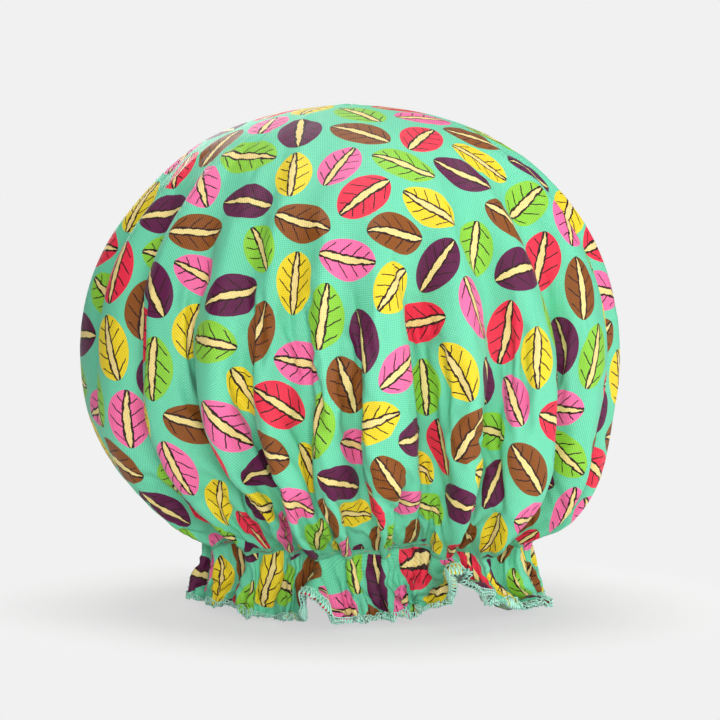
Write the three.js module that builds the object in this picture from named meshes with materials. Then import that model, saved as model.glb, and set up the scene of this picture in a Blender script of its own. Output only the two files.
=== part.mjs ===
// Shower cap: a disc of printed cloth and a disc of waterproof film, gathered together on a sewn-in elastic.
// Below the elastic the two layers run on as a frill, and an overlock seam binds the frill's edge.
// Millimetres, +Z up, with the frill's edge standing on the plane Z = 0.
// The origin is below the middle of the crown.
import * as THREE from "three";

// Crown: the puffed part above the elastic, measured over the ridges of its folds
const crownRadius = 107;
const crownTop = 202;
const equatorHeight = 106;
const lowerFullness = 2.1; // exponent of the curve from the equator down to the elastic: 2 is an ellipse
const upperLevels = 5; // rings from the apex to the equator
const lowerLevels = 4; // rings from the equator to the elastic

// Rim: the line where the elastic gathers the cloth, which the soft crown overhangs a little to one side
const rimRadius = 67;
const rimHeight = 27;
const rimShift = 7;
const leanFrom = 85; // height below which the crown leans over to meet the shifted rim

// Frill below the elastic
const hemFlare = 5; // how much wider its edge is than the rim, measured over the ridges
const hemLift = 3.5; // how far the frill's edge lifts off the surface between the places where it stands
const hemLiftCount = 4;

// Gathers: the ridges between the main folds, by their angles from +X in degrees. The folds are deepest
// between the equator and the elastic, and open again in the frill. A narrow fold is shallower than a wide one
const ridgeAngles = [
  -155, -135, -118, -107, -96, -85, -65, -49, -26, -8, 10, 27, 42, 61, 80, 95, 114, 130, 149, 165, 186,
];
const pointsPerFold = 4;
const fullFoldWidth = 20; // degrees, from which a fold has its full depth
const foldDepthEquator = 9;
const foldDepthLower = 15;
const foldDepthRim = 5;
const foldDepthHem = 9;
const foldSharpness = 1.4; // above 1 the valleys are narrower than the ridges

// Layers and seams
const outerThickness = 0.8;
const liningThickness = 0.6;
const layerGap = 0.6; // between the two layers, along the mean surface
const clearance = 0.3;
const threadDiameter = 0.5;
const overlockWidth = 4.5;
const elasticWidth = 6;
const elasticThickness = 1;
const elasticLap = 16; // length of the sewn lap that closes the elastic's loop
const tackWidth = 1.2;

// Angular stations of the finest rings: each fold has the same number of them, from its ridge on
const stations = ridgeAngles.length * pointsPerFold;
const foldWidth = (fold) => (ridgeAngles[fold + 1] ?? ridgeAngles[0] + 360) - ridgeAngles[fold];
function stationAngle(station) {
  const turns = Math.floor(station / stations);
  const inTurn = station - turns * stations;
  const fold = Math.floor(inTurn / pointsPerFold);
  const share = inTurn / pointsPerFold - fold;
  return THREE.MathUtils.degToRad(ridgeAngles[fold] + share * foldWidth(fold) + 360 * turns);
}
const everyStation = Array.from({ length: stations }, (_, i) => stationAngle(i));
const lapStations = everyStation.findIndex((angle) => (angle - everyStation[0]) * rimRadius >= elasticLap);

const liningOffset = -(outerThickness + layerGap);
const innerFace = liningOffset - liningThickness;

// Height of the cloth's cut edge where the frill stands: the overlock thread runs under it
const edgeHeight = threadDiameter + clearance;

// Meridian of the mean surface, from the apex to the hem: each level has its radius, height, fold depth,
// share of the hem's lift, number of stations, and sideways shift
function meridian() {
  const levels = [];
  for (let i = 1; i <= upperLevels; i++) {
    const angle = (i / upperLevels) * (Math.PI / 2);
    levels.push({
      radius: crownRadius * Math.sin(angle),
      height: equatorHeight + (crownTop - equatorHeight) * Math.cos(angle),
      depth: foldDepthEquator * Math.max(0, (i - 2) / (upperLevels - 2)),
      stations: i === 1 ? stations / 4 : i < upperLevels ? stations / 2 : stations,
    });
  }
  for (let i = 1; i <= lowerLevels; i++) {
    const along = i / lowerLevels;
    const angle = along * (Math.PI / 2);
    const power = 2 / lowerFullness;
    const end = along < 1 ? foldDepthLower : foldDepthRim;
    levels.push({
      radius: rimRadius + (crownRadius - rimRadius) * Math.cos(angle) ** power,
      height: equatorHeight - (equatorHeight - rimHeight) * Math.sin(angle) ** power,
      depth: foldDepthEquator + (end - foldDepthEquator) * Math.min(1, along * 1.5),
      stations,
      normal: along < 1 ? undefined : new THREE.Vector2(1, 0),
    });
  }
  const frillDrop = rimHeight - edgeHeight;
  const frillShares = [0.4, 1 - overlockWidth / frillDrop, 1];
  for (const share of frillShares) {
    levels.push({
      radius: rimRadius + hemFlare * share,
      height: rimHeight - frillDrop * share,
      depth: foldDepthRim + (foldDepthHem - foldDepthRim) * share,
      lift: hemLift * share ** 2,
      stations,
      normal: new THREE.Vector2(1, 0),
    });
  }
  levels.forEach((level, i) => {
    if (!level.normal) {
      const before = levels[i - 1] ?? { radius: 0, height: crownTop };
      const after = levels[i + 1];
      const tangent = new THREE.Vector2(after.radius - before.radius, after.height - before.height);
      level.normal = new THREE.Vector2(-tangent.y, tangent.x).normalize();
    }
    level.shift = rimShift * THREE.MathUtils.smoothstep(leanFrom - level.height, 0, leanFrom - rimHeight);
  });
  return levels;
}

const levels = meridian();
const rimLevel = upperLevels + lowerLevels - 1;
const bindLevel = levels.length - 2; // upper edge of the overlock
const hemLevel = levels.length - 1;

// Fold at an angle: 0 on a ridge, 1 at the bottom of the deepest valley
function foldAt(angle) {
  const past = THREE.MathUtils.euclideanModulo(THREE.MathUtils.radToDeg(angle) - ridgeAngles[0] + 1e-6, 360);
  const fold = ridgeAngles.findLastIndex((ridge) => ridge - ridgeAngles[0] <= past);
  const share = (past - (ridgeAngles[fold] - ridgeAngles[0])) / foldWidth(fold);
  const valley = ((1 - Math.cos(2 * Math.PI * share)) / 2) ** foldSharpness;
  return valley * Math.min(1, foldWidth(fold) / fullFoldWidth);
}

// Lift of the frill at an angle: 0 over the stretches where it stands, 1 halfway between them
function lift(angle) {
  return Math.max(0, Math.sin(hemLiftCount * angle + Math.PI / 4)) ** 2;
}

// Point of the cloth at a level and angle, moved along the mean normal by an offset
function clothPoint(level, angle, offset) {
  const out = offset - level.depth * foldAt(angle);
  const radius = level.radius + out * level.normal.x;
  const rise = (level.lift ?? 0) * lift(angle);
  return new THREE.Vector3(
    radius * Math.cos(angle) + level.shift,
    radius * Math.sin(angle),
    level.height + out * level.normal.y + rise,
  );
}

function clothRing(level, offset) {
  const step = stations / level.stations;
  return Array.from({ length: level.stations }, (_, i) => clothPoint(level, stationAngle(i * step), offset));
}

// Collects triangles of one closed surface
class Skin {
  positions = [];
  triangle(a, b, c) {
    for (const p of [a, b, c]) this.positions.push(p.x, p.y, p.z);
  }
  quad(a, b, c, d) {
    this.triangle(a, b, c);
    this.triangle(a, c, d);
  }
  // Joins two rings, the lower one with as many points as the upper one, or twice as many
  bridge(upper, lower, facing = 1) {
    const put = (a, b, c) => (facing > 0 ? this.triangle(a, b, c) : this.triangle(a, c, b));
    const ratio = lower.length / upper.length;
    upper.forEach((point, i) => {
      const next = upper[(i + 1) % upper.length];
      const below = lower[i * ratio];
      const middle = lower[(i * ratio + 1) % lower.length];
      put(point, below, middle);
      put(point, middle, next);
      if (ratio === 2) put(next, middle, lower[(i * 2 + 2) % lower.length]);
    });
  }
  // Sweeps a closed section through a list of sections, closing it into a ring or capping its two ends
  sweep(sections, closed) {
    const count = closed ? sections.length : sections.length - 1;
    for (let i = 0; i < count; i++) {
      this.bridge(sections[i], sections[(i + 1) % sections.length]);
    }
    if (closed) return;
    const [first, last] = [sections[0], sections.at(-1)];
    for (let k = 1; k < first.length - 1; k++) {
      this.triangle(first[0], first[k], first[k + 1]);
      this.triangle(last[0], last[k + 1], last[k]);
    }
  }
  geometry() {
    const made = new THREE.BufferGeometry();
    made.setAttribute("position", new THREE.Float32BufferAttribute(this.positions, 3));
    made.computeVertexNormals();
    return made;
  }
}

// One layer of cloth from the apex to the hem, between two offsets
function clothLayer(outside, inside) {
  const skin = new Skin();
  for (const [offset, facing] of [
    [outside, 1],
    [inside, -1],
  ]) {
    const rings = levels.map((level) => clothRing(level, offset));
    const apex = new THREE.Vector3(0, 0, crownTop + offset);
    rings[0].forEach((point, i) => {
      const next = rings[0][(i + 1) % rings[0].length];
      if (facing > 0) skin.triangle(apex, point, next);
      else skin.triangle(apex, next, point);
    });
    for (let i = 0; i + 1 < rings.length; i++) skin.bridge(rings[i], rings[i + 1], facing);
  }
  skin.bridge(clothRing(levels[hemLevel], outside), clothRing(levels[hemLevel], inside));
  return skin.geometry();
}

// A thread that runs round the cap: a four-sided tube through one centre for each station
function threadRing(centreAt) {
  const half = threadDiameter / 2;
  const sections = everyStation.map((angle, station) => {
    const centre = centreAt(angle, station);
    const out = new THREE.Vector3(Math.cos(angle), Math.sin(angle), 0).multiplyScalar(half);
    const up = new THREE.Vector3(0, 0, half);
    return [
      centre.clone().add(out),
      centre.clone().add(up),
      centre.clone().sub(out),
      centre.clone().sub(up),
    ];
  });
  const skin = new Skin();
  skin.sweep(sections, true);
  return skin.geometry();
}

// Overlock looper threads, each as the band that its close loops make along one face of the edge
const bandOutside = clearance + threadDiameter;
const bandInside = innerFace - clearance - threadDiameter;

// The upper looper lies on the printed face, and wraps under the cut edge to the lining's side
function upperLooper() {
  const [bind, hem] = [levels[bindLevel], levels[hemLevel]];
  const under = new THREE.Vector3(0, 0, -edgeHeight);
  const seat = new THREE.Vector3(0, 0, -clearance);
  const sections = everyStation.map((angle) => [
    clothPoint(bind, angle, bandOutside),
    clothPoint(bind, angle, clearance),
    clothPoint(hem, angle, clearance).add(seat),
    clothPoint(hem, angle, bandInside).add(seat),
    clothPoint(hem, angle, bandInside).add(under),
    clothPoint(hem, angle, bandOutside).add(under),
  ]);
  const skin = new Skin();
  skin.sweep(sections, true);
  return skin.geometry();
}

// The lower looper lies on the lining's face, above the turned thread of the upper looper
function lowerLooper() {
  const [bind, hem] = [levels[bindLevel], levels[hemLevel]];
  const sections = everyStation.map((angle) => [
    clothPoint(bind, angle, innerFace - clearance),
    clothPoint(bind, angle, bandInside),
    clothPoint(hem, angle, bandInside),
    clothPoint(hem, angle, innerFace - clearance),
  ]);
  const skin = new Skin();
  skin.sweep(sections, true);
  return skin.geometry();
}

// Elastic: a flat band inside the lining's valleys, whose end laps over its beginning
const rim = levels[rimLevel];
const narrowest = (level) =>
  everyStation
    .map((angle) => clothPoint(level, angle, innerFace))
    .map((point) => ({ radius: Math.hypot(point.x - level.shift, point.y), height: point.z }))
    .reduce((least, place) => (place.radius < least.radius ? place : least));
const elasticHeight = narrowest(rim).height;
const seatRadius = Math.min(narrowest(rim).radius, narrowest(levels[rimLevel + 1]).radius);
const elasticOuterRadius = seatRadius - clearance;
const elasticInnerRadius = elasticOuterRadius - elasticThickness;
const lapStep = elasticThickness + clearance;

// The band's outer face after a number of stations from its beginning: it steps inwards to pass over the lap
function elasticFace(station) {
  return elasticOuterRadius - lapStep * THREE.MathUtils.clamp(station - stations + 1, 0, 1);
}

function rimPoint(angle, radius, height) {
  return new THREE.Vector3(radius * Math.cos(angle) + rim.shift, radius * Math.sin(angle), height);
}

function elasticBand() {
  const [top, bottom] = [elasticHeight + elasticWidth / 2, elasticHeight - elasticWidth / 2];
  const sections = [];
  for (let i = 0; i <= stations + lapStations; i++) {
    const outer = elasticFace(i);
    const inner = outer - elasticThickness;
    const angle = stationAngle(i);
    sections.push([
      rimPoint(angle, outer, bottom),
      rimPoint(angle, outer, top),
      rimPoint(angle, inner, top),
      rimPoint(angle, inner, bottom),
    ]);
  }
  const skin = new Skin();
  skin.sweep(sections, false);
  return skin.geometry();
}

// The innermost face of the band at a station of the first turn
const lapFace = elasticInnerRadius - lapStep;
const isLapped = (i) => i >= stations - 1 || i <= lapStations + 1;

// Bar tack: a block of close stitches across the middle of the lap
const tackStation = lapStations / 2;
const tackOuter = lapFace - clearance;
const tackInner = tackOuter - threadDiameter;
function lapTack() {
  const half = tackWidth / 2 / tackOuter;
  const centre = stationAngle(tackStation);
  const reach = elasticWidth / 2 - threadDiameter;
  const corners = (angle) => [
    rimPoint(angle, tackOuter, elasticHeight - reach),
    rimPoint(angle, tackOuter, elasticHeight + reach),
    rimPoint(angle, tackInner, elasticHeight + reach),
    rimPoint(angle, tackInner, elasticHeight - reach),
  ];
  const skin = new Skin();
  skin.sweep([corners(centre - half), corners(centre + half)], false);
  return skin.geometry();
}

// Threads of the row that holds the elastic: needle thread on the printed face, bobbin thread on the elastic
const seamOffset = clearance + threadDiameter / 2;
const belowRim = new THREE.Vector3(0, 0, -seamOffset);
const needleThread = () => threadRing((angle) => clothPoint(rim, angle, seamOffset).add(belowRim));

function bobbinThread() {
  return threadRing((angle, station) => {
    const face = isLapped(station) ? tackInner : elasticInnerRadius;
    return rimPoint(angle, face - clearance - threadDiameter / 2, elasticHeight);
  });
}

// Needle thread of the overlock, which holds the loops down along their upper edge
const bindOffset = bandOutside + clearance + threadDiameter / 2;
const bindThread = () => threadRing((angle) => clothPoint(levels[bindLevel], angle, bindOffset));

// Materials
const printedCloth = new THREE.MeshStandardMaterial({ color: 0x7ddcb9, roughness: 0.85, metalness: 0 });
const film = new THREE.MeshStandardMaterial({ color: 0xd5ded8, roughness: 0.35, metalness: 0 });
const mintThread = new THREE.MeshStandardMaterial({ color: 0x9ce8d0, roughness: 0.8, metalness: 0 });
const whiteElastic = new THREE.MeshStandardMaterial({ color: 0xf0efe9, roughness: 0.9, metalness: 0 });

const cap = new THREE.Group();
function add(name, geometry, material) {
  const mesh = new THREE.Mesh(geometry, material);
  mesh.name = name;
  cap.add(mesh);
}

add("outer_fabric", clothLayer(0, -outerThickness), printedCloth);
add("waterproof_lining", clothLayer(liningOffset, innerFace), film);
add("elastic_band", elasticBand(), whiteElastic);
add("elastic_lap_tack", lapTack(), mintThread);
add("elastic_needle_thread", needleThread(), mintThread);
add("elastic_bobbin_thread", bobbinThread(), mintThread);
add("hem_needle_thread", bindThread(), mintThread);
add("hem_upper_looper_thread", upperLooper(), mintThread);
add("hem_lower_looper_thread", lowerLooper(), mintThread);

export default cap;
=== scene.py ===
import math

import bpy
import numpy as np
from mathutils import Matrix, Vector
from mathutils.bvhtree import BVHTree


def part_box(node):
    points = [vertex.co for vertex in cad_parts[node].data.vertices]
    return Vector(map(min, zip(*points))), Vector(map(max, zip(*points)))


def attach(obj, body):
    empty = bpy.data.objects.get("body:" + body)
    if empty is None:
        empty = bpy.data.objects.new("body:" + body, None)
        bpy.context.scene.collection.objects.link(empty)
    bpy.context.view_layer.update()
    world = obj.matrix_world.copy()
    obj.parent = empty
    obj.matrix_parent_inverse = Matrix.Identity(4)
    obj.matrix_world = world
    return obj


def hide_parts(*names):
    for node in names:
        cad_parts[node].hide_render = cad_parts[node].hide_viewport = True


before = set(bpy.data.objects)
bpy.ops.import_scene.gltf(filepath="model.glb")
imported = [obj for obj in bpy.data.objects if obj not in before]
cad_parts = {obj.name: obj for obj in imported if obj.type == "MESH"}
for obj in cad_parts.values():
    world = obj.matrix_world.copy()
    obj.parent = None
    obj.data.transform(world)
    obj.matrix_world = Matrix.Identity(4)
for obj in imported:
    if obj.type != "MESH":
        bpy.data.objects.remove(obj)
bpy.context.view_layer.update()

# Printed outer cloth
# One disc of plain-woven microfibre, printed on its face, crown and frill in one cut. The elastic that is
# sewn in near its edge gathers it: what lies above puffs out as the crown, what lies below is the frill.
MM = 0.001  # lengths are in millimetres until a mesh is made
CROWN_RADIUS = 105.5  # of the ridges between the folds, at the crown's widest
CROWN_TOP = 201.5
EQUATOR_HEIGHT = 106.0
UPPER_FULLNESS = 2.25  # exponent of the outline above the widest place: 2 is an ellipse
LOWER_FULLNESS = 1.85  # the same below it
RIM_RADIUS = 67.0  # at the elastic
RIM_HEIGHT = 27.0
RIM_SHIFT = 7.0  # of the rim towards +X, under the crown
LEAN_FROM = 85.0  # the height below which the cloth leans towards the shifted rim
FRILL_LENGTH = 28.0
FRILL_FLARE = math.radians(4.5)
LEAST_HEIGHT = 1.0  # of the cloth's cut edge, which stands on the overlock thread under it
COLUMNS = 480  # of the laid cloth's grid, round the cap
UPPER_STEP = 4.0  # between the grid's levels along the cloth, from the apex down
LOWER_STEP = 2.4  # the same past FINE_FROM
FINE_FROM = 196.0  # from the apex
MERIDIAN_STEP = 0.5
MERIDIAN_POINTS = 600
rng = np.random.default_rng(11)


def smoothstep(low, high, value):
    share = np.clip((value - low) / (high - low), 0, 1)
    return share * share * (3 - 2 * share)


def crown_meridian():
    """Arc length, radius and height of the crown's ridges from apex to elastic, at an even step."""
    angle = np.linspace(0, math.pi / 2, MERIDIAN_POINTS)
    upper, lower = 2 / UPPER_FULLNESS, 2 / LOWER_FULLNESS
    radius = np.concatenate([
        CROWN_RADIUS * np.sin(angle) ** upper,
        RIM_RADIUS + (CROWN_RADIUS - RIM_RADIUS) * np.cos(angle[1:]).clip(0) ** lower,
    ])
    height = np.concatenate([
        EQUATOR_HEIGHT + (CROWN_TOP - EQUATOR_HEIGHT) * np.cos(angle).clip(0) ** upper,
        EQUATOR_HEIGHT - (EQUATOR_HEIGHT - RIM_HEIGHT) * np.sin(angle[1:]) ** lower,
    ])
    arc = np.concatenate([[0], np.cumsum(np.hypot(np.diff(radius), np.diff(height)))])
    even = np.arange(0, arc[-1], MERIDIAN_STEP)
    return even, np.interp(even, arc, radius), np.interp(even, arc, height)


crown_arc, crown_radius, crown_height = crown_meridian()
rim_arc = crown_arc[-1]
hem_arc = rim_arc + FRILL_LENGTH
levels = np.concatenate([
    np.arange(UPPER_STEP, FINE_FROM, UPPER_STEP),
    np.linspace(FINE_FROM, hem_arc, round((hem_arc - FINE_FROM) / LOWER_STEP)),
])

# Ridges between the main folds, by their angles from +X, and how far from the apex the fold after each begins
ridges = [
    -155, -135, -118, -107, -96, -85, -65, -49, -26, -8,
    10, 27, 42, 61, 80, 95, 114, 130, 149, 165, 186,
]
starts = [95, 80, 45, 110, 115, 110, 80, 60, 85, 70, 105, 90, 115, 65, 80, 110, 75, 100, 65, 120, 85]
middles = np.radians(ridges + [ridges[0] + 360])

# How much longer the cloth is round each level than the level itself, as it is laid in its folds. It is the
# disc's own excess, less near the elastic, where the settling below makes the smallest puckers
level_radius = np.interp(levels, crown_arc, crown_radius)
past_rim = levels > rim_arc
level_radius[past_rim] = RIM_RADIUS + (levels[past_rim] - rim_arc) * math.sin(FRILL_FLARE)
laid_arcs = [0, 190, 215, rim_arc - 8, rim_arc, rim_arc + 8, hem_arc]
laid_excess = [9, 2.0, 2.0, 1.8, 1.6, 1.75, 1.9]
excess = np.minimum(levels / level_radius, np.interp(levels, laid_arcs, laid_excess))

# The steepest slope of the cloth in a fold, in radians: past upright where the folds have room to fall over
steepest = np.interp(levels, [0, 100, rim_arc - 50, rim_arc - 20], [1.7, 2.25, 2.25, 1.7])[:, None]

# Along the cloth, a fold grows about its start, falls over to a side, stands again near the elastic, and
# parts there into three pleats. Its shoulders and its bottom are rounded over the lengths given
FOLD_GROWS = (-25, 45)  # from its start
FOLD_FALLS_BY = 60  # from its start
FOLD_STANDS = (-45, -8)  # from the elastic
FOLD_PARTS = (-60, -4)  # from the elastic
LOST_TO_SIDES = 0.45  # of the middle pleat, where it parts
MIDDLE_LEAN = (0.4, 0.7)  # in radians
MIDDLE_SHIFT = 0.05  # at most, as a share of the panel
SIDE_PLACES = (0.25, 0.75)
SIDE_WEIGHT = (0.35, 0.75)
SIDE_SHIFT = 0.04
SIDE_LEAN = 0.1
fold_arcs = [0, 160, rim_arc - 20, rim_arc, hem_arc]
shoulder_lengths = [12, 7.5, 4.5, 2.2, 5]
bottom_lengths = [8, 3, 2.2, 1.4, 3.5]
WANDER = 0.06
WANDER_LENGTH = 38.0
DEEPEST_FOLD = 60.0
HALVINGS = 26


def pleat_slope(along, half_length, shoulder, bottom, lean):
    """Slope of the cloth, in radians from the hoop direction, at distances along it from a pleat's middle."""
    sharp = shoulder + (bottom - shoulder) * np.clip(half_length / (2 * shoulder), 0, 1)
    into = (np.tanh((along + half_length) / shoulder) - np.tanh(along / sharp)) / 2
    out = (np.tanh(along / sharp) - np.tanh((along - half_length) / shoulder)) / 2
    return out * (math.pi / 2 - lean) - into * (math.pi / 2 + lean)


def laid_in_pleats(middle, next_middle, start, columns):
    """World angles and depths of the cloth between the middles of two panels, at every level."""
    width = next_middle - middle
    grown = smoothstep(start + FOLD_GROWS[0], start + FOLD_GROWS[1], levels)
    cloth_scale = level_radius * (1 + (excess - 1) * grown)
    parted = smoothstep(rim_arc + FOLD_PARTS[0], rim_arc + FOLD_PARTS[1], levels)
    near_rim = parted * smoothstep(hem_arc, rim_arc, levels)
    shoulder = np.interp(levels, fold_arcs, shoulder_lengths)[:, None]
    bottom = np.interp(levels, fold_arcs, bottom_lengths)[:, None]
    falls_over = rng.choice([-1, 1]) * rng.uniform(*MIDDLE_LEAN)
    middle_place = 0.5 + rng.uniform(-MIDDLE_SHIFT, MIDDLE_SHIFT)
    pleats = [(middle_place, 1 - LOST_TO_SIDES * near_rim, falls_over)]
    for place in SIDE_PLACES:
        weight = rng.uniform(*SIDE_WEIGHT) * near_rim
        side_place = place + rng.uniform(-SIDE_SHIFT, SIDE_SHIFT)
        pleats.append((side_place, weight, rng.uniform(-SIDE_LEAN, SIDE_LEAN)))
    wander = rng.uniform(-WANDER, WANDER) * np.sin(levels / WANDER_LENGTH + rng.uniform(0, 2 * math.pi))
    fallen = smoothstep(start, start + FOLD_FALLS_BY, levels)
    lean_share = fallen * smoothstep(rim_arc + FOLD_STANDS[1], rim_arc + FOLD_STANDS[0], levels)
    share = (np.arange(columns) + 0.5) / columns
    step = width * cloth_scale[:, None] / columns

    def slopes(depth):
        total = np.zeros((len(levels), columns))
        for place, weight, lean in pleats:
            along = (share[None, :] - place - wander[:, None]) * width * cloth_scale[:, None]
            leant = lean * lean_share[:, None]
            total += pleat_slope(along, (depth * weight)[:, None], shoulder, bottom, leant)
        return steepest * np.tanh(total / steepest)

    low, high = np.zeros(len(levels)), np.full(len(levels), DEEPEST_FOLD)
    for _ in range(HALVINGS):
        tried = (low + high) / 2
        too_long = (np.cos(slopes(tried)) * step).sum(1) > width * level_radius
        low = np.where(too_long, tried, low)
        high = np.where(too_long, high, tried)
    slope = slopes((low + high) / 2)
    run = np.cumsum(np.cos(slope) * step, 1)
    angle = middle + width * run / run[:, -1:]
    depth = np.cumsum(np.sin(slope) * step, 1)
    depth = depth - depth[:, -1:] * (np.arange(columns) + 1) / columns
    return angle, depth


counts = np.round(np.diff(middles) / (2 * math.pi) * COLUMNS).astype(int)
counts[-1] += COLUMNS - counts.sum()
spans = [laid_in_pleats(middles[i], middles[i + 1], starts[i], counts[i]) for i in range(len(counts))]
angles = np.concatenate([angle for angle, _ in spans], 1)
depths = np.concatenate([depth for _, depth in spans], 1)
flat_angles = np.concatenate([
    first + (np.arange(count) + 1) / count * (last - first)
    for first, last, count in zip(middles, middles[1:], counts)
])


def ripple(hoop_waves, arc_length, count):
    """A smooth seeded unevenness over the cloth, about 1 high: hoop waves round it, and a length along it."""
    total = np.zeros_like(angles)
    for _ in range(count):
        waves = round(rng.uniform(*hoop_waves))
        turn = rng.uniform(0, 2 * math.pi)
        total += np.sin(waves * flat_angles[None, :] + levels[:, None] / rng.uniform(*arc_length) + turn)
    return total / math.sqrt(count)


# The mean surface: the crown, and the frill, which flips out in some places, or in where a turn is negative.
# Each flip has its angle and half width in degrees, how far below the elastic it begins, and its turn
frill_flips = [
    (-150, 6, 0, 17),
    (-130, 5, 0, 20),
    (-106, 4, 0, 62),
    (-92, 5, 0, 10),
    (-79, 3.5, 0, -14),
    (-64, 5, 0, 68),
    (-38, 9, 11, 96),
    (20, 6, 0, 14),
    (60, 9, 0, 40),
    (105, 6, 0, 18),
    (150, 8, 0, 22),
    (172, 5, 0, 4),
]
FLIP_BEND = 9.0  # length of cloth over which a flip turns
SOFTENED_OVER = 4.0  # length of cloth over which the direction of the folds' depth is evened out
below_rim = levels[past_rim] - rim_arc
frill_turn = np.full((len(below_rim), COLUMNS), FRILL_FLARE)
for place, reach, begins, turn in frill_flips:
    away = (np.degrees(flat_angles) - place + 180) % 360 - 180
    turned = math.radians(turn) * np.exp(-(away / reach) ** 2)
    frill_turn += np.outer(smoothstep(begins, begins + FLIP_BEND, below_rim), turned)
radius = np.repeat(level_radius[:, None], COLUMNS, 1)
height = np.repeat(np.interp(levels, crown_arc, crown_height)[:, None], COLUMNS, 1)
frill_from = int(np.argmax(past_rim))
frill_steps = np.diff(np.concatenate([[rim_arc], levels[past_rim]]))[:, None]
radius[frill_from:] = RIM_RADIUS + np.cumsum(np.sin(frill_turn) * frill_steps, 0)
height[frill_from:] = RIM_HEIGHT - np.cumsum(np.cos(frill_turn) * frill_steps, 0)
fall = np.gradient(height, levels, axis=0)
widening = np.gradient(radius, levels, axis=0)
soften = np.exp(-((levels[:, None] - levels[None, :]) ** 2) / (2 * SOFTENED_OVER ** 2))
soften /= soften.sum(1, keepdims=True)
out_radius, out_height = soften @ -fall, soften @ widening

# Unevenness: small ripples that grow down the crown, broad swells, and a wandering of the folds sideways
RIPPLE_HEIGHT = 0.25
RIPPLE_GROWTH = 0.9
SWELL_HEIGHT = 1.2
SIDEWAYS = np.radians(0.9)
RIPPLES_GROW = (60, 190)  # from the apex
CALM_APEX = (0, 45)  # from the apex
lower = smoothstep(*RIPPLES_GROW, levels)[:, None]
off_apex = smoothstep(*CALM_APEX, levels)[:, None]
small_ripple = ripple(hoop_waves=(9, 26), arc_length=(18, 40), count=12)
small_ripple = small_ripple * (RIPPLE_HEIGHT + RIPPLE_GROWTH * lower)
swell = ripple(hoop_waves=(3, 7), arc_length=(25, 60), count=8)
depths = depths + off_apex * (small_ripple + swell * SWELL_HEIGHT)
angles = angles + SIDEWAYS * ripple(hoop_waves=(3, 8), arc_length=(20, 45), count=8) * lower


def leaning(height_now):
    """How far the rim's shift has moved the cloth at a height."""
    return RIM_SHIFT * smoothstep(LEAN_FROM, RIM_HEIGHT, height_now)


radius = radius + depths * out_radius
height = np.maximum(height + depths * out_height, LEAST_HEIGHT)
cloth = np.stack([radius * np.cos(angles) + leaning(height), radius * np.sin(angles), height], 2)


def polar_disc(arcs, columns, least_spacing):
    """Faces of a polar grid: a fan at the apex, then rings that keep every 16th, 8th, 4th, 2nd and at last
    each column. Returns the faces, and the level and column of each vertex after the apex."""
    places, rings = [], []
    for i, arc in enumerate(arcs):
        crowding = least_spacing / (2 * math.pi * arc / columns)
        kept = range(0, columns, 2 ** min(4, max(0, math.ceil(math.log2(crowding)))))
        rings.append(np.arange(len(kept)) + 1 + len(places))
        places += [(i, column) for column in kept]
    faces = [(0, one, other) for one, other in zip(rings[0], np.roll(rings[0], -1))]
    for upper, following in zip(rings, rings[1:]):
        beside = np.roll(upper, -1)
        if len(upper) == len(following):
            faces += zip(upper, following, np.roll(following, -1), beside)
            continue
        even, odd = following[0::2], following[1::2]
        faces += zip(upper, even, odd)
        faces += zip(upper, odd, beside)
        faces += zip(beside, odd, np.roll(even, -1))
    return faces, np.array(places)


def on_disc(grid, places):
    """A polar grid's points as the disc's vertices, the apex first."""
    return np.vstack([grid[0].mean(0), grid[places[:, 0], places[:, 1]]])


def mesh_object(name, points, faces):
    mesh = bpy.data.meshes.new(name)
    mesh.from_pydata((np.asarray(points) * MM).tolist(), [], [tuple(int(i) for i in face) for face in faces])
    mesh.polygons.foreach_set("use_smooth", np.ones(len(mesh.polygons), dtype=bool))
    mesh.update()
    piece = bpy.data.objects.new(name, mesh)
    bpy.context.scene.collection.objects.link(piece)
    return piece


def on_flat_cut(arcs, turns):
    """Where a polar grid lies on the flat disc."""
    return np.stack([arcs[:, None] * np.cos(turns), arcs[:, None] * np.sin(turns)], 2)


# Settling: the laid cloth, whose threads keep the flat disc's lengths, is puffed over a padded form while the
# elastic's line holds it. That makes the small puckers and the fall of the folds and the frill
SETTLE_FRAMES = 10
SETTLE_SPACING = 1.9
FORM_GAP = 3.0  # of the form below the bottoms of the laid folds
FORM_ENDS = 25.0  # above the elastic, along the cloth
PUFF_ENDS = 6.0  # the same
HELD_SLACK = 0.1
BODY_SKIN = 1.0
TABLE_HALF = 300.0


def square(half):
    """Corners of a level square at the table's height."""
    return [(-half, -half, 0), (half, -half, 0), (half, half, 0), (-half, half, 0)]


def collider(name, points, faces):
    body = mesh_object(name, points, faces)
    body.modifiers.new("collide", "COLLISION")
    body.collision.thickness_outer = BODY_SKIN * MM
    return body


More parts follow.
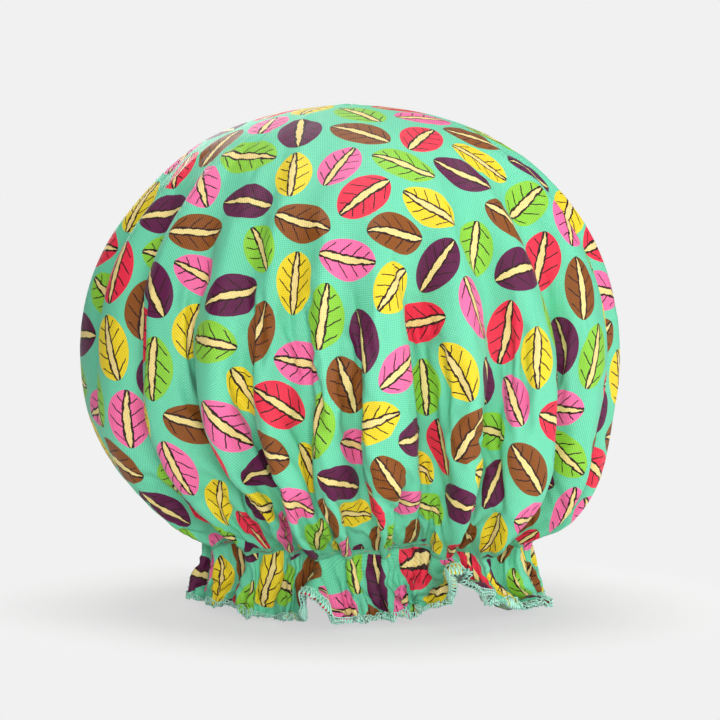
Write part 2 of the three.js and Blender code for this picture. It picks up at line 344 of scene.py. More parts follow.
def settled(laid):
    """The laid cloth after settling, as a polar grid of the same levels and columns."""
    faces, places = polar_disc(levels, COLUMNS, SETTLE_SPACING)
    arcs = np.concatenate([[0], levels[places[:, 0]]])
    sheet = mesh_object("settling_cloth", on_disc(laid, places), faces)
    sheet.shape_key_add(name="laid")
    cut = sheet.shape_key_add(name="cut")
    flat_cut = on_disc(on_flat_cut(levels, flat_angles), places)
    cut.data.foreach_set("co", np.column_stack([flat_cut * MM, np.zeros(len(flat_cut))]).ravel())
    held = sheet.vertex_groups.new(name="held")
    held.add(np.flatnonzero(np.abs(arcs - rim_arc) < LOWER_STEP / 2 + HELD_SLACK).tolist(), 1.0, "REPLACE")
    puffed = sheet.vertex_groups.new(name="puffed")
    puffed.add(np.flatnonzero(arcs < rim_arc - PUFF_ENDS).tolist(), 1.0, "REPLACE")

    inset = FORM_GAP + soften @ np.maximum(0, -depths.min(1))
    form_radius = (level_radius - inset * out_radius[:, 0])[:, None]
    form_height = np.interp(levels, crown_arc, crown_height) - inset * out_height[:, 0]
    form_height = np.repeat(form_height[:, None], COLUMNS, 1)
    form_across = form_radius * np.cos(flat_angles) + leaning(form_height)
    form_grid = np.stack([form_across, form_radius * np.sin(flat_angles), form_height], 2)
    form_size = int((arcs < rim_arc - FORM_ENDS).sum())
    form_faces = [face for face in faces if max(face) < form_size]
    form = collider("form", on_disc(form_grid, places)[:form_size], form_faces)
    table = collider("table", square(TABLE_HALF), [(0, 1, 2, 3)])

    modifier = sheet.modifiers.new("settle", "CLOTH")
    cloth_settings = {
        "quality": 6,
        "mass": 0.15,
        "air_damping": 4.0,
        "tension_stiffness": 50,
        "compression_stiffness": 50,
        "shear_stiffness": 12,
        "bending_stiffness": 1.2,
        "tension_damping": 8,
        "compression_damping": 8,
        "shear_damping": 8,
        "bending_damping": 0.5,
        "vertex_group_mass": "held",
        "use_pressure": True,
        "uniform_pressure_force": 0.06,
        "vertex_group_pressure": "puffed",
        "rest_shape_key": cut,
    }
    for key, value in cloth_settings.items():
        setattr(modifier.settings, key, value)
    modifier.settings.effector_weights.gravity = 0.12
    contact_settings = {
        "distance_min": 1.0 * MM,
        "use_self_collision": True,
        "self_distance_min": 1.2 * MM,
        "self_friction": 3,
        "collision_quality": 2,
    }
    for key, value in contact_settings.items():
        setattr(modifier.collision_settings, key, value)
    for step in range(1, SETTLE_FRAMES + 1):
        bpy.context.scene.frame_set(step)
    result = sheet.evaluated_get(bpy.context.evaluated_depsgraph_get()).to_mesh()
    points = np.empty(len(result.vertices) * 3)
    result.vertices.foreach_get("co", points)
    points = points.reshape(-1, 3)[1:] / MM
    for body in (sheet, form, table):
        bpy.data.objects.remove(body)
    bpy.context.scene.frame_set(1)
    grid = np.empty_like(laid)
    for i in range(len(levels)):
        own = places[:, 0] == i
        kept = places[own, 1]
        for axis in range(3):
            grid[i, :, axis] = np.interp(np.arange(COLUMNS), kept, points[own, axis], period=COLUMNS)
    return grid


cloth = settled(cloth)

# A finer grid through the settled one, on smooth curves both ways
FINE_STEP = 2.05
FINE_SPACING = 0.86
FINE_COLUMNS = 2 * COLUMNS
ROUND_AGAIN = 3  # columns repeated past the grid's seam


def through(values, places, at):
    """Cubic curves through values at places along the first axis, read at other places."""
    slopes = np.gradient(values, places, axis=0)
    low = np.clip(np.searchsorted(places, at, side="right") - 1, 0, len(places) - 2)
    high = low + 1
    span = (places[high] - places[low])[:, None, None]
    t = ((at - places[low]) / (places[high] - places[low]))[:, None, None]
    start = values[low] * (1 + 2 * t) * (1 - t) ** 2 + slopes[low] * span * t * (1 - t) ** 2
    return start + values[high] * t * t * (3 - 2 * t) + slopes[high] * span * t * t * (t - 1)


fine_places = np.arange(FINE_COLUMNS) * COLUMNS / FINE_COLUMNS
round_again = np.concatenate([cloth[:, -ROUND_AGAIN:], cloth, cloth[:, :ROUND_AGAIN]], 1).swapaxes(0, 1)
known_places = np.arange(-ROUND_AGAIN, COLUMNS + ROUND_AGAIN, dtype=float)
cloth = through(round_again, known_places, fine_places).swapaxes(0, 1)
fine_levels = np.linspace(UPPER_STEP / 2, hem_arc, round(hem_arc / FINE_STEP))
inside = np.concatenate([2 * cloth[:1].mean(1, keepdims=True) - cloth[:1], cloth])
cloth = through(inside, np.concatenate([[-levels[0]], levels]), fine_levels)
closed_angles = np.append(flat_angles, flat_angles[0] + 2 * math.pi)
fine_angles = np.interp(fine_places, np.arange(COLUMNS + 1), closed_angles)

column_vector = np.roll(cloth, -1, 1) - np.roll(cloth, 1, 1)
level_vector = np.gradient(cloth, axis=0)
normals = np.cross(level_vector, column_vector)
normals /= np.linalg.norm(normals, axis=2, keepdims=True)
disc_faces, disc_places = polar_disc(fine_levels, FINE_COLUMNS, FINE_SPACING)
outer_cloth = mesh_object("outer_cloth", on_disc(cloth, disc_places), disc_faces)

# Its print: leaves tossed over the flat disc, kept apart, each in one of six dyes
LEAF_HALF_LENGTH = 13.0
LEAF_HALF_WIDTH = 8.6
LEAF_ROUNDNESS = 0.62  # of the leaf's outline: 1 is a pointed lens, 0.5 an ellipse
LEAF_GAP = 1.6
LEAF_COUNT = 490
LEAF_ROUNDS = 160
LEAF_SIZES = (0.94, 1.05)  # least and largest, as shares of the lengths above
BEAD_PLACES = np.array([-0.72, -0.26, 0.26, 0.72])  # as shares of the half length
LEAF_NEARNESS = 2.2 * LEAF_HALF_LENGTH  # between the middles of leaves that may touch
LEAVES_PAST_EDGE = 8.0
SCATTER = 3.0
PUSH_SHARE = 0.2
TWIST_SHARE = 0.6
UNLIKE_NEIGHBOURS = 4  # that don't share a leaf's dye
FACES_AT_ONCE = 8000
MIDRIB_HALF_WIDTH = 1.35
MIDRIB_TAPER = 0.5
MIDRIB_WAVE = 0.8
MIDRIB_WAVE_SCALE = 0.35  # per mm, for waves about 3 mm long
MIDRIB_LINE_OUT = 0.3  # of the midrib's outline from its edge
MIDRIB_LINE_HALF = 0.42
VEIN_SPACING = 5.8
VEIN_HALF_WIDTH = 0.32
VEIN_SLANT = 0.9
VEIN_STOPS = 1.3  # inside the leaf's outline
DYES = ["#EA2C48", "#F46DA4", "#5E1645", "#EDD128", "#8ACB3B", "#884B14"]


def linear(code):
    """An sRGB hex colour as linear red, green, blue and alpha."""
    parts = [int(code[first:first + 2], 16) / 255 for first in (1, 3, 5)]
    return [part / 12.92 if part <= 0.04045 else ((part + 0.055) / 1.055) ** 2.4 for part in parts] + [1.0]


def toss_leaves():
    """Centres, turns and sizes of leaves on the disc: spread on a spiral at random turns, then pushed and
    turned off each other in rounds. A leaf is four beads while it is pushed."""
    step = np.arange(LEAF_COUNT) + 0.5
    reach = (hem_arc + LEAVES_PAST_EDGE) * np.sqrt(step / LEAF_COUNT)
    bearing = step * math.pi * (3 - math.sqrt(5))
    spots = np.stack([reach * np.cos(bearing), reach * np.sin(bearing)], 1)
    spots = spots + rng.normal(0, SCATTER, spots.shape)
    turns = rng.uniform(0, 2 * math.pi, LEAF_COUNT)
    sizes = rng.uniform(*LEAF_SIZES, LEAF_COUNT)
    bead_sizes = np.outer(sizes, (1 - BEAD_PLACES ** 2) ** LEAF_ROUNDNESS * LEAF_HALF_WIDTH)
    for _ in range(LEAF_ROUNDS):
        heading = np.stack([np.cos(turns), np.sin(turns)], 1)
        arms = heading[:, None, :] * (np.outer(sizes, BEAD_PLACES) * LEAF_HALF_LENGTH)[:, :, None]
        beads = spots[:, None, :] + arms
        apart = np.linalg.norm(spots[:, None, :] - spots[None, :, :], axis=2)
        one, other = np.nonzero(np.triu(apart < LEAF_NEARNESS, 1))
        between = beads[other][:, None, :, :] - beads[one][:, :, None, :]
        distance = np.linalg.norm(between, axis=3)
        wanted = LEAF_GAP + bead_sizes[one][:, :, None] + bead_sizes[other][:, None, :]
        push = between * (np.maximum(0, wanted - distance) / distance)[..., None]
        pushes = np.zeros_like(beads)
        np.add.at(pushes, one, -push.sum(2))
        np.add.at(pushes, other, push.sum(1))
        spots = spots + PUSH_SHARE * pushes.sum(1)
        twist = arms[..., 0] * pushes[..., 1] - arms[..., 1] * pushes[..., 0]
        turns = turns + TWIST_SHARE * twist.sum(1) / LEAF_HALF_LENGTH ** 2
    return np.column_stack([spots, turns, sizes])


leaves = toss_leaves()
leaf_dyes = np.zeros(len(leaves), dtype=int)
for i in range(len(leaves)):
    near = np.argsort(np.hypot(*(leaves[:i, :2] - leaves[i, :2]).T))[:UNLIKE_NEIGHBOURS] if i else []
    free = [dye for dye in range(len(DYES)) if dye not in set(leaf_dyes[list(near)])]
    leaf_dyes[i] = rng.choice(free)

# The frill is drawn less gathered than the disc, so its print is read from a smaller ring of the same disc
FRILL_PRINT_RADIUS = 140.0
print_arcs = np.where(fine_levels < rim_arc, fine_levels, fine_levels - rim_arc + FRILL_PRINT_RADIUS)
flat_points = on_disc(on_flat_cut(print_arcs, fine_angles), disc_places)


def print_on(piece):
    """Gives each face its nearest leaf: the leaf's own coordinates in mm as a map, its dye as a colour."""
    mesh = piece.data
    loop_vertices = np.empty(len(mesh.loops), dtype=int)
    mesh.loops.foreach_get("vertex_index", loop_vertices)
    totals = np.empty(len(mesh.polygons), dtype=int)
    mesh.polygons.foreach_get("loop_total", totals)
    firsts = np.concatenate([[0], np.cumsum(totals)[:-1]])
    centres = np.add.reduceat(flat_points[loop_vertices], firsts) / totals[:, None]
    heading = np.stack([np.cos(leaves[:, 2]), np.sin(leaves[:, 2])], 1)
    nearest = np.empty(len(centres), dtype=int)
    for first in range(0, len(centres), FACES_AT_ONCE):
        batch = slice(first, first + FACES_AT_ONCE)
        away = centres[batch, None, :] - leaves[None, :, :2]
        along = (away * heading).sum(2) / (leaves[:, 3] * LEAF_HALF_LENGTH)
        across = away[..., 1] * heading[:, 0] - away[..., 0] * heading[:, 1]
        across = across / (leaves[:, 3] * LEAF_HALF_WIDTH)
        nearest[batch] = np.argmin(np.hypot(across, along), 1)
    own = np.repeat(nearest, totals)
    away = flat_points[loop_vertices] - leaves[own, :2]
    along = (away * heading[own]).sum(1) / leaves[own, 3]
    across = (away[:, 1] * heading[own, 0] - away[:, 0] * heading[own, 1]) / leaves[own, 3]
    mesh.uv_layers.new(name="leaf_mm").data.foreach_set("uv", np.stack([along, across], 1).ravel())
    mesh.uv_layers.new(name="flat_mm").data.foreach_set("uv", flat_points[loop_vertices].ravel())
    dye = np.array([linear(code) for code in DYES])[leaf_dyes[nearest]]
    mesh.attributes.new("leaf_dye", "FLOAT_COLOR", "FACE").data.foreach_set("color", dye.ravel())


print_on(outer_cloth)


def add_node(tree, kind, inputs=None, **settings):
    """Adds a shader node and gives its outputs. Settings are its properties, and inputs are values, or
    sockets to link, by name or place."""
    made = tree.nodes.new(kind)
    for key, value in settings.items():
        setattr(made, key, value)
    for key, value in (inputs or {}).items():
        if isinstance(value, bpy.types.NodeSocket):
            tree.links.new(value, made.inputs[key])
        else:
            made.inputs[key].default_value = value
    return made.outputs


def new_material(name):
    material = bpy.data.materials.new(name)
    material.use_nodes = True
    tree = material.node_tree
    return material, tree, tree.nodes["Principled BSDF"]


def leaf_print(tree, ground, cream, vein):
    """Colour of the print, in the leaf's own mm: blade, pale midrib and dark fine veins on the ground."""
    place = add_node(tree, "ShaderNodeUVMap", uv_map="leaf_mm")[0]
    along, across, _ = add_node(tree, "ShaderNodeSeparateXYZ", {0: place})
    dye = add_node(tree, "ShaderNodeAttribute", attribute_name="leaf_dye")["Color"]

    # Blade: how far inside its rounded outline a point is
    share = add_node(tree, "ShaderNodeMath", {0: along, 1: LEAF_HALF_LENGTH}, operation="DIVIDE")[0]
    squared = add_node(tree, "ShaderNodeMath", {0: share, 1: share}, operation="MULTIPLY")[0]
    rest = add_node(tree, "ShaderNodeMath", {0: 1.0, 1: squared}, operation="SUBTRACT")[0]
    fullness = add_node(tree, "ShaderNodeMath", {0: rest, 1: LEAF_ROUNDNESS}, operation="POWER")[0]
    half_width = add_node(tree, "ShaderNodeMath", {0: fullness, 1: LEAF_HALF_WIDTH}, operation="MULTIPLY")[0]
    side = add_node(tree, "ShaderNodeMath", {0: across}, operation="ABSOLUTE")[0]
    inside = add_node(tree, "ShaderNodeMath", {0: half_width, 1: side}, operation="SUBTRACT")[0]
    blade = add_node(tree, "ShaderNodeMath", {0: inside, 1: 0.0}, operation="GREATER_THAN")[0]

    # Midrib: a wavy band that tapers towards the tip, outlined in the dark of the veins
    noise_inputs = {"Vector": place, "Scale": MIDRIB_WAVE_SCALE, "Detail": 1.0}
    noise = add_node(tree, "ShaderNodeTexNoise", noise_inputs)[0]
    waving = {0: noise, 1: 2 * MIDRIB_WAVE, 2: -MIDRIB_WAVE}
    wave = add_node(tree, "ShaderNodeMath", waving, operation="MULTIPLY_ADD")[0]
    from_rib = add_node(tree, "ShaderNodeMath", {0: across, 1: wave}, operation="ADD")[0]
    rib_side = add_node(tree, "ShaderNodeMath", {0: from_rib}, operation="ABSOLUTE")[0]
    tapering = {0: share, 1: -MIDRIB_TAPER, 2: MIDRIB_HALF_WIDTH}
    taper = add_node(tree, "ShaderNodeMath", tapering, operation="MULTIPLY_ADD")[0]
    rib_half = add_node(tree, "ShaderNodeMath", {0: fullness, 1: taper}, operation="MULTIPLY")[0]
    in_rib = add_node(tree, "ShaderNodeMath", {0: rib_half, 1: rib_side}, operation="SUBTRACT")[0]
    rib = add_node(tree, "ShaderNodeMath", {0: in_rib, 1: 0.0}, operation="GREATER_THAN")[0]
    at_edge = {0: in_rib, 1: -MIDRIB_LINE_OUT, 2: MIDRIB_LINE_HALF}
    rib_line = add_node(tree, "ShaderNodeMath", at_edge, operation="COMPARE")[0]

    # Veins: fine even lines, slanted back from the midrib, that stop short of the outline
    slanting = {0: rib_side, 1: -VEIN_SLANT, 2: along}
    slant = add_node(tree, "ShaderNodeMath", slanting, operation="MULTIPLY_ADD")[0]
    from_vein = add_node(tree, "ShaderNodeMath", {0: slant, 1: VEIN_SPACING / 2}, operation="PINGPONG")[0]
    on_vein = add_node(tree, "ShaderNodeMath", {0: from_vein, 1: VEIN_HALF_WIDTH}, operation="LESS_THAN")[0]
    short = add_node(tree, "ShaderNodeMath", {0: inside, 1: VEIN_STOPS}, operation="GREATER_THAN")[0]
    veins = add_node(tree, "ShaderNodeMath", {0: on_vein, 1: short}, operation="MULTIPLY")[0]

    veined = add_node(tree, "ShaderNodeMix", {0: veins, 6: dye, 7: linear(vein)}, data_type="RGBA")[2]
    ribbed = add_node(tree, "ShaderNodeMix", {0: rib, 6: veined, 7: linear(cream)}, data_type="RGBA")[2]
    lined = add_node(tree, "ShaderNodeMix", {0: rib_line, 6: ribbed, 7: linear(vein)}, data_type="RGBA")[2]
    return add_node(tree, "ShaderNodeMix", {0: blade, 6: linear(ground), 7: lined}, data_type="RGBA")[2]


# Microfibre, plain woven and dyed by print: matt, with a faint sheen and a fine even weave.
# The real threads are about 0.25 mm apart; they are drawn 0.85 mm apart to show.
MINT = "#6ACFA7"
CREAM = "#F0D78C"
VEIN = "#2E1412"
THREAD_SPACING = 0.85
GAP_SHADE = 0.4  # painted shade: how much lighter the threads' crests are than the shaded gaps between them
MEAN_HEIGHT = 0.25  # of the weave below
THREAD_BUMP = 0.12


def weave(tree, spacing):
    """Height of the woven threads over the flat cut, from 0 to 1: two sets of slightly uneven threads."""
    place = add_node(tree, "ShaderNodeUVMap", uv_map="flat_mm")[0]
    unevenness = {"Distortion": 1.0, "Detail": 1.0, "Detail Scale": 0.7}
    inputs = {"Vector": place, "Scale": math.pi / 10 / spacing} | unevenness
    warp = add_node(tree, "ShaderNodeTexWave", inputs, bands_direction="X")["Fac"]
    weft = add_node(tree, "ShaderNodeTexWave", inputs, bands_direction="Y")["Fac"]
    return add_node(tree, "ShaderNodeMath", {0: warp, 1: weft}, operation="MULTIPLY")[0]


microfibre, tree, shader = new_material("printed_microfibre")
threads = weave(tree, THREAD_SPACING)
# Painted shade in the weave: the print is darkened in the gaps between the threads and lightened on their
# crests, after their height
gap_shade_inputs = {0: threads, 1: GAP_SHADE, 2: 1 - GAP_SHADE * MEAN_HEIGHT}
gap_shade_factor = add_node(tree, "ShaderNodeMath", gap_shade_inputs, operation="MULTIPLY_ADD")[0]
printed = leaf_print(tree, MINT, CREAM, VEIN)
gap_shaded = add_node(tree, "ShaderNodeVectorMath", {0: printed, "Scale": gap_shade_factor}, operation="SCALE")[0]
tree.links.new(gap_shaded, shader.inputs["Base Color"])
relief = {"Height": threads, "Strength": 1.0, "Distance": THREAD_BUMP * MM}
bump = add_node(tree, "ShaderNodeBump", relief)[0]
tree.links.new(bump, shader.inputs["Normal"])
shader.inputs["Roughness"].default_value = 0.5
shader.inputs["Sheen Weight"].default_value = 0.05
shader.inputs["Sheen Roughness"].default_value = 0.4
shader.inputs["Specular IOR Level"].default_value = 0.3
outer_cloth.data.materials.append(microfibre)

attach(outer_cloth, "root")
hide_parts("outer_fabric")

# Waterproof lining
# A second disc of the same cut, of thin translucent film, laid inside the cloth, gathered and sewn with it.
# It is loose between its seams, and follows the cloth's folds.
LINING_GAP = 0.45
TIGHT_SHARE = 0.3  # of the room between two layers of cloth, where they are closer than the gap allows
OFF_FACE = 0.05  # where the search for the next layer begins
cloth_points, cloth_normals = on_disc(cloth, disc_places), on_disc(normals, disc_places)
layers = BVHTree.FromPolygons(cloth_points.tolist(), [[int(i) for i in face] for face in disc_faces])


def lining_gap(point, normal):
    """The lining's distance inside the cloth at a point: less where a fold leaves little room."""
    room = layers.ray_cast(Vector(point - normal * OFF_FACE), Vector(-normal), LINING_GAP / TIGHT_SHARE)[3]
    return LINING_GAP if room is None else TIGHT_SHARE * room


lining_gaps = np.array([lining_gap(point, normal) for point, normal in zip(cloth_points, cloth_normals)])
lining = mesh_object("film_lining", cloth_points - cloth_normals * lining_gaps[:, None], disc_faces)
print_on(lining)

# Film, calendered: satin, faintly milky, so the print's wrong side shows through it washed out.
WASHED_MINT = "#86D9B9"
WASHED_CREAM = "#E3DDB4"
WASHED_VEIN = "#5C5048"
MILK = "#DCE6DF"
MILKINESS = 0.45
film, tree, shader = new_material("calendered_film")
wrong_side = leaf_print(tree, WASHED_MINT, WASHED_CREAM, WASHED_VEIN)
pale = add_node(tree, "ShaderNodeMix", {0: MILKINESS, 6: wrong_side, 7: linear(MILK)}, data_type="RGBA")[2]
tree.links.new(pale, shader.inputs["Base Color"])
shader.inputs["Roughness"].default_value = 0.33
shader.inputs["IOR"].default_value = 1.5
lining.data.materials.append(film)
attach(lining, "root")
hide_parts("waterproof_lining")

# Elastic
# A flat braided elastic, 6 mm wide, lapped into a loop and sewn to the lining while stretched. Relaxed, it
# draws the two discs into their gathers.
elastic_low, elastic_high = (np.array(corner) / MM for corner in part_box("elastic_band"))
tack_low, tack_high = (np.array(corner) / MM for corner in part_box("elastic_lap_tack"))
PUCKER_CLEARANCE = 0.4  # between the elastic and the lining in the deepest pucker
BESIDE_ELASTIC = 0.5  # how far above and below the elastic puckers are looked for
ELASTIC_CENTRE = (elastic_low + elastic_high) / 2
ELASTIC_WIDTH = elastic_high[2] - elastic_low[2]
from_middle = np.abs(cloth[..., 2] - ELASTIC_CENTRE[2])
beside_elastic = cloth[from_middle < ELASTIC_WIDTH / 2 + BESIDE_ELASTIC] - ELASTIC_CENTRE
deepest_pucker = np.hypot(beside_elastic[:, 0], beside_elastic[:, 1]).min()
free_radius = deepest_pucker - LINING_GAP - PUCKER_CLEARANCE
ELASTIC_OUTER = min((elastic_high[1] - elastic_low[1]) / 2, free_radius)
ELASTIC_THICKNESS = 1.0
ELASTIC_STATIONS = 240
tack_place = (tack_low + tack_high) / 2 - ELASTIC_CENTRE
LAP_MIDDLE = math.atan2(tack_place[1], tack_place[0])
LAP_LENGTH = 16.0
LAP_TURN = LAP_LENGTH / ELASTIC_OUTER
LAP_CLEARANCE = 0.3
LAP_STEP = ELASTIC_THICKNESS + LAP_CLEARANCE
LAP_RAMP = 0.12  # in radians, where the end steps on to the beginning


def elastic_mesh():
    """A thin rounded band, swept once round the rim and on over its own beginning."""
    half, edge = ELASTIC_WIDTH / 2, ELASTIC_THICKNESS / 2
    inner_side = [(-edge, -half + edge), (-edge, half - edge), (0, half)]
    section = inner_side + [(-out, -up) for out, up in inner_side]
    run = np.linspace(0, 2 * math.pi + LAP_TURN, ELASTIC_STATIONS)
    step_in = LAP_STEP * smoothstep(2 * math.pi - LAP_RAMP, 2 * math.pi, run)
    points = []
    for turn, inward in zip(run + LAP_MIDDLE - LAP_TURN / 2, step_in):
        for out, up in section:
            reach = ELASTIC_OUTER - edge - inward + out
            points.append((reach * math.cos(turn), reach * math.sin(turn), up))
    size = len(section)
    faces = [
        (i * size + k, i * size + (k + 1) % size, (i + 1) * size + (k + 1) % size, (i + 1) * size + k)
        for i in range(ELASTIC_STATIONS - 1)
        for k in range(size)
    ]
    last = (ELASTIC_STATIONS - 1) * size
    faces += [tuple(range(size))[::-1], tuple(range(last, last + size))]
    return np.array(points) + ELASTIC_CENTRE, faces


elastic = mesh_object("elastic_loop", *elastic_mesh())

# Braided polyester over rubber: chalky white, matt, with fine ribs along it, and painted shade in the grooves
# between the ribs.
RIB_SPACING = 0.8
RIB_RELIEF = 0.3
CHALK = "#F4F3EE"
GROOVE_SHADE = "#D9D8D2"
braid, tree, shader = new_material("braided_elastic")
place = add_node(tree, "ShaderNodeTexCoord")["Object"]
rib_scale = math.pi / 10 / (RIB_SPACING * MM)
rib_inputs = {"Vector": place, "Scale": rib_scale, "Distortion": 1.5, "Detail": 1.0}
ribs = add_node(tree, "ShaderNodeTexWave", rib_inputs, bands_direction="Z")["Fac"]
# Painted shade: the grooves between the ribs are coloured darker than the chalky crests
tint = add_node(tree, "ShaderNodeMix", {0: ribs, 6: linear(GROOVE_SHADE), 7: linear(CHALK)}, data_type="RGBA")[2]
tree.links.new(tint, shader.inputs["Base Color"])
relief = {"Height": ribs, "Strength": 0.6, "Distance": RIB_RELIEF * MM}
bump = add_node(tree, "ShaderNodeBump", relief)[0]
tree.links.new(bump, shader.inputs["Normal"])
shader.inputs["Roughness"].default_value = 0.9
elastic.data.materials.append(braid)
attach(elastic, "root")
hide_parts("elastic_band")

# Sewing threads of the elastic
# A lockstitch row round the middle of the elastic, its needle thread on the printed face and its bobbin
# thread on the elastic, and the bar tack that closes the elastic's lap.
THREAD_RADIUS = 0.2
STITCH_LENGTH = 2.8
STITCH_DIP = -0.3
STITCH_RISE = 0.24
STITCH_CREST = 0.34


def on_cloth(column, arc, offset):
    """Points at a column and a distance from the apex along the cloth, raised off its face. Past the edge it
    runs straight on."""
    row = np.clip(np.searchsorted(fine_levels, arc) - 1, 0, len(fine_levels) - 2)
    down = ((arc - fine_levels[row]) / (fine_levels[row + 1] - fine_levels[row]))[:, None]
    left = np.floor(column).astype(int)
    right_share = (column - left)[:, None]
    found = 0
    for columns, share in ((left % FINE_COLUMNS, 1 - right_share), ((left + 1) % FINE_COLUMNS, right_share)):
        for rows, weight in ((row, 1 - down), (row + 1, down)):
            found = found + share * weight * (cloth[rows, columns] + normals[rows, columns] * offset[:, None])
    return found


def stitch_columns(arc, length):
    """Columns where stitches of about that length begin, evenly round the cloth at an arc from the apex."""
    every = np.arange(FINE_COLUMNS + 1, dtype=float)
    line = on_cloth(every, np.full(FINE_COLUMNS + 1, arc), np.zeros(FINE_COLUMNS + 1))
    run = np.concatenate([[0], np.cumsum(np.linalg.norm(np.diff(line, axis=0), axis=1))])
    count = round(run[-1] / length)
    return np.interp(np.arange(count + 1) / count * run[-1], run, every)


def thread_piece(name, points, radius, material, node):
    """A round thread along a closed path."""
    line = bpy.data.curves.new(name, "CURVE")
    line.dimensions = "3D"
    line.bevel_depth = radius * MM
    line.bevel_resolution = 2
    spline = line.splines.new("POLY")
    spline.points.add(len(points) - 1)
    spline.points.foreach_set("co", np.column_stack([points * MM, np.ones(len(points))]).ravel())
    spline.use_cyclic_u = True
    line.materials.append(material)
    piece = bpy.data.objects.new(name, line)
    bpy.context.scene.collection.objects.link(piece)
    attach(piece, "root")
    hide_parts(node)


def stitched_path(columns, shape):
    """Repeats a stitch along the cloth. Its shape's points are a share of the stitch, an arc and a height."""
    starts_at, ends_at = columns[:-1], columns[1:]
    along = np.concatenate([[starts_at + share * (ends_at - starts_at)] for share, _, _ in shape]).T.ravel()
    arcs = np.tile([arc for _, arc, _ in shape], len(starts_at))
    heights = np.tile([up for _, _, up in shape], len(starts_at))
    return on_cloth(along, arcs, heights)


# Spun polyester thread: soft, slightly fuzzy, with the two plies of its twist, and painted shade between the
# plies.
PLY_SPACING = 0.9
MINT_THREAD = "#78D2AC"
MINT_PLY_SHADE = "#58B890"


def spun_thread(name, colour, shade):
    material, tree, shader = new_material(name)
    place = add_node(tree, "ShaderNodeTexCoord")["Object"]
    ply_inputs = {"Vector": place, "Scale": math.pi / 10 / (PLY_SPACING * MM), "Distortion": 2.0}
    plies = add_node(tree, "ShaderNodeTexWave", ply_inputs)["Fac"]
    between, lit = linear(shade), linear(colour)
    # Painted shade: the twist's wave mixes the thread's colour with a darker shade between the plies
    tint = add_node(tree, "ShaderNodeMix", {0: plies, 6: between, 7: lit}, data_type="RGBA")[2]
    tree.links.new(tint, shader.inputs["Base Color"])
    shader.inputs["Roughness"].default_value = 0.7
    shader.inputs["Sheen Weight"].default_value = 0.2
    return material


mint_thread = spun_thread("spun_polyester_mint", MINT_THREAD, MINT_PLY_SHADE)
rim_row = stitch_columns(rim_arc, STITCH_LENGTH)
stitch = [
    (0.0, rim_arc, STITCH_DIP),
    (0.14, rim_arc, STITCH_RISE),
    (0.5, rim_arc, STITCH_CREST),
    (0.86, rim_arc, STITCH_RISE),
]
needle_path = stitched_path(rim_row, stitch)
thread_piece("elastic_needle_stitches", needle_path, THREAD_RADIUS, mint_thread, "elastic_needle_thread")


def round_rim(turns, reach, rise):
    """Points round the rim's axis at the elastic, by their turns, distances from the axis, and heights."""
    return np.stack([reach * np.cos(turns), reach * np.sin(turns), rise + 0 * turns], 1) + ELASTIC_CENTRE


BOBBIN_STITCHES = 130
BOBBIN_POINTS = 4  # in a stitch
BOBBIN_SINK = 0.35  # of the thread into the elastic, once a stitch
OVER_LAP = (0.14, 0.02)  # in radians past the lap's ends, where the thread climbs on to it
LAP_LIFT = 0.5  # of the thread off the lap
bobbin_step = np.arange(BOBBIN_STITCHES * BOBBIN_POINTS)
bobbin_turns = bobbin_step / len(bobbin_step) * 2 * math.pi
from_lap = np.abs((bobbin_turns - LAP_MIDDLE + math.pi) % (2 * math.pi) - math.pi)
lapped = smoothstep(LAP_TURN / 2 + OVER_LAP[0], LAP_TURN / 2 + OVER_LAP[1], from_lap)
bobbin_reach = ELASTIC_OUTER - ELASTIC_THICKNESS - THREAD_RADIUS - (LAP_STEP + LAP_LIFT) * lapped
bobbin_sunk = bobbin_step % BOBBIN_POINTS == 0
bobbin_path = round_rim(bobbin_turns, bobbin_reach + BOBBIN_SINK * bobbin_sunk, 0.0)
thread_piece("elastic_bobbin_stitches", bobbin_path, THREAD_RADIUS, mint_thread, "elastic_bobbin_thread")

TACK_WIDTH = 1.2
TACK_PASSES = 16
tack_step = np.arange(TACK_PASSES)
tack_side = np.where(tack_step % 2 == 0, -0.5, 0.5)
tack_turns = LAP_MIDDLE + tack_side * TACK_WIDTH / ELASTIC_OUTER
tack_reach = ELASTIC_OUTER - ELASTIC_THICKNESS - LAP_STEP - THREAD_RADIUS
tack_rise = (tack_step / (TACK_PASSES - 1) - 0.5) * (tack_high[2] - tack_low[2])
tack_path = round_rim(tack_turns, tack_reach, tack_rise)
thread_piece("elastic_bar_tack", tack_path, THREAD_RADIUS, mint_thread, "elastic_lap_tack")

# Overlock of the frill's edge
# Three threads bind the two cut edges: a needle thread along their inner line, and two loopers whose loops
# zigzag over the printed face and the lining and lock together along the cut edge.
OVERLOCK_WIDTH = 4.3
OVERLOCK_PITCH = 1.5
COUNTED_AT = 1.0  # above the edge, where the pitch is measured
LOOPER_RADIUS = 0.27
FACE_LIFT = 0.35
BACK_LIFT = -LINING_GAP - FACE_LIFT
LOOP_BULGE = 0.12
EDGE_IN = 0.1
EDGE_OUT = 0.45
EDGE_LIFT_SHARE = 0.3
NEEDLE_DIP = -0.2
NEEDLE_LIFT = FACE_LIFT + 0.25
NEEDLE_CREST = NEEDLE_LIFT + 0.15
hem_row = stitch_columns(hem_arc - COUNTED_AT, OVERLOCK_PITCH)
bind_arc = hem_arc - OVERLOCK_WIDTH

# Woolly overlock thread: paler than the elastic's row, so that the bound edge is a light line.
PALE_THREAD = "#C4F0E2"
PALE_PLY_SHADE = "#93DCC4"
overlock_thread = spun_thread("woolly_overlock_thread", PALE_THREAD, PALE_PLY_SHADE)


